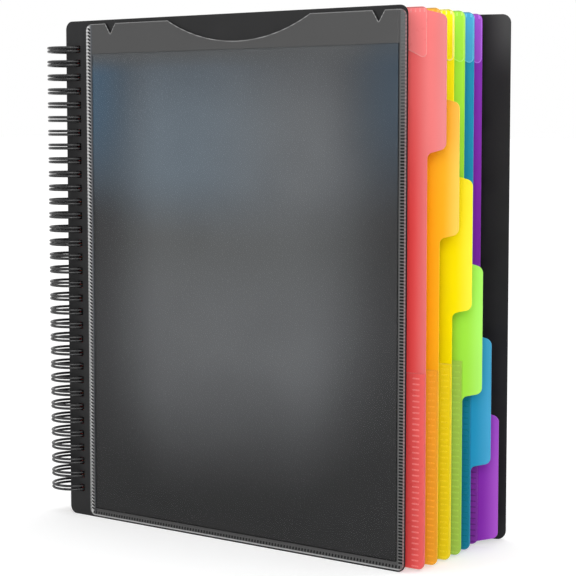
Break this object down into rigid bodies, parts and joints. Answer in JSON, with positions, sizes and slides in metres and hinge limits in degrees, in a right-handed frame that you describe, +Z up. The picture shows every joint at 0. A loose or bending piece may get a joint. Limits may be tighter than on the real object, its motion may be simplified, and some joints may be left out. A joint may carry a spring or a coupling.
{
  "type": "multi-pocket folder",
  "caption": "Upright multi-pocket folder: stiff black covers and tabbed, coloured pocket leaves that turn on a twin-loop wire, with a clear pocket and its sheet on the front cover.",
  "frame": {"origin": "middle of the bounding box's bottom face, on the surface that the covers' lower edges stand on", "axes": "+Z up along the spine; the front cover lies parallel to the XZ plane and faces -Y; +X from the spine to the fore edge; the stack is fanned towards +Y"},
  "size_m": [0.289, 0.1132, 0.3048],
  "materials": {
    "cover_black": "fine grained polypropylene, satin",
    "cover_film": "clear soft film, glossy",
    "insert_card": "printed sheet with a plain gradient",
    "wire_black": "nylon-coated steel wire, black, glossy",
    "red_sheet": "coloured polypropylene, satin",
    "red_film": "translucent film, satin",
    "orange_sheet": "coloured polypropylene, satin",
    "orange_film": "translucent film, satin",
    "yellow_sheet": "coloured polypropylene, satin",
    "yellow_film": "translucent film, satin",
    "green_sheet": "coloured polypropylene, satin",
    "green_film": "translucent film, satin",
    "blue_sheet": "coloured polypropylene, satin",
    "blue_film": "translucent film, satin",
    "purple_sheet": "coloured polypropylene, satin",
    "purple_film": "translucent film, satin"
  },
  "bodies": {
    "back_cover": {"back_cover": "cover_black"},
    "wire": {"wire_binding": "wire_black"},
    "purple": {"purple_leaf": "purple_sheet", "purple_front_pocket": "purple_film", "purple_front_flap": "purple_film", "purple_back_pocket": "purple_film", "purple_back_flap": "purple_film"},
    "blue": {"blue_leaf": "blue_sheet", "blue_front_pocket": "blue_film", "blue_front_flap": "blue_film", "blue_back_pocket": "blue_film", "blue_back_flap": "blue_film"},
    "green": {"green_leaf": "green_sheet", "green_front_pocket": "green_film", "green_front_flap": "green_film", "green_back_pocket": "green_film", "green_back_flap": "green_film"},
    "yellow": {"yellow_leaf": "yellow_sheet", "yellow_front_pocket": "yellow_film", "yellow_front_flap": "yellow_film", "yellow_back_pocket": "yellow_film", "yellow_back_flap": "yellow_film"},
    "orange": {"orange_leaf": "orange_sheet", "orange_front_pocket": "orange_film", "orange_front_flap": "orange_film", "orange_back_pocket": "orange_film", "orange_back_flap": "orange_film"},
    "red": {"red_leaf": "red_sheet", "red_front_pocket": "red_film", "red_front_flap": "red_film", "red_back_pocket": "red_film", "red_back_flap": "red_film"},
    "front_cover": {"front_cover": "cover_black", "cover_pocket": "cover_film"},
    "insert": {"cover_insert": "insert_card"}
  },
  "joints": [
    {"name": "wire_turn", "type": "hinge", "parent": "back_cover", "child": "wire", "pos_m": [-0.13007, -0.04208, 0.1524], "axis": [0, 0, 1], "range_deg": [-30, 30]},
    {"name": "purple_leaf_turn", "type": "hinge", "parent": "back_cover", "child": "purple", "pos_m": [-0.13007, -0.04208, 0.1524], "axis": [0, 0, 1], "range_deg": [-29, 4.3]},
    {"name": "blue_leaf_turn", "type": "hinge", "parent": "purple", "child": "blue", "pos_m": [-0.13007, -0.04208, 0.1524], "axis": [0, 0, 1], "range_deg": [-29, 3.1]},
    {"name": "green_leaf_turn", "type": "hinge", "parent": "blue", "child": "green", "pos_m": [-0.13007, -0.04208, 0.1524], "axis": [0, 0, 1], "range_deg": [-29, 2.8]},
    {"name": "yellow_leaf_turn", "type": "hinge", "parent": "green", "child": "yellow", "pos_m": [-0.13007, -0.04208, 0.1524], "axis": [0, 0, 1], "range_deg": [-29, 2.7]},
    {"name": "orange_leaf_turn", "type": "hinge", "parent": "yellow", "child": "orange", "pos_m": [-0.13007, -0.04208, 0.1524], "axis": [0, 0, 1], "range_deg": [-29, 2.9]},
    {"name": "red_leaf_turn", "type": "hinge", "parent": "orange", "child": "red", "pos_m": [-0.13007, -0.04208, 0.1524], "axis": [0, 0, 1], "range_deg": [-29, 2.4]},
    {"name": "front_cover_turn", "type": "hinge", "parent": "red", "child": "front_cover", "pos_m": [-0.13007, -0.04208, 0.1524], "axis": [0, 0, -1], "range_deg": [-1.7, 170]},
    {"name": "insert_slide", "type": "slide", "parent": "front_cover", "child": "insert", "axis": [0, 0, 1], "range_m": [0, 0.2]}
  ]
}
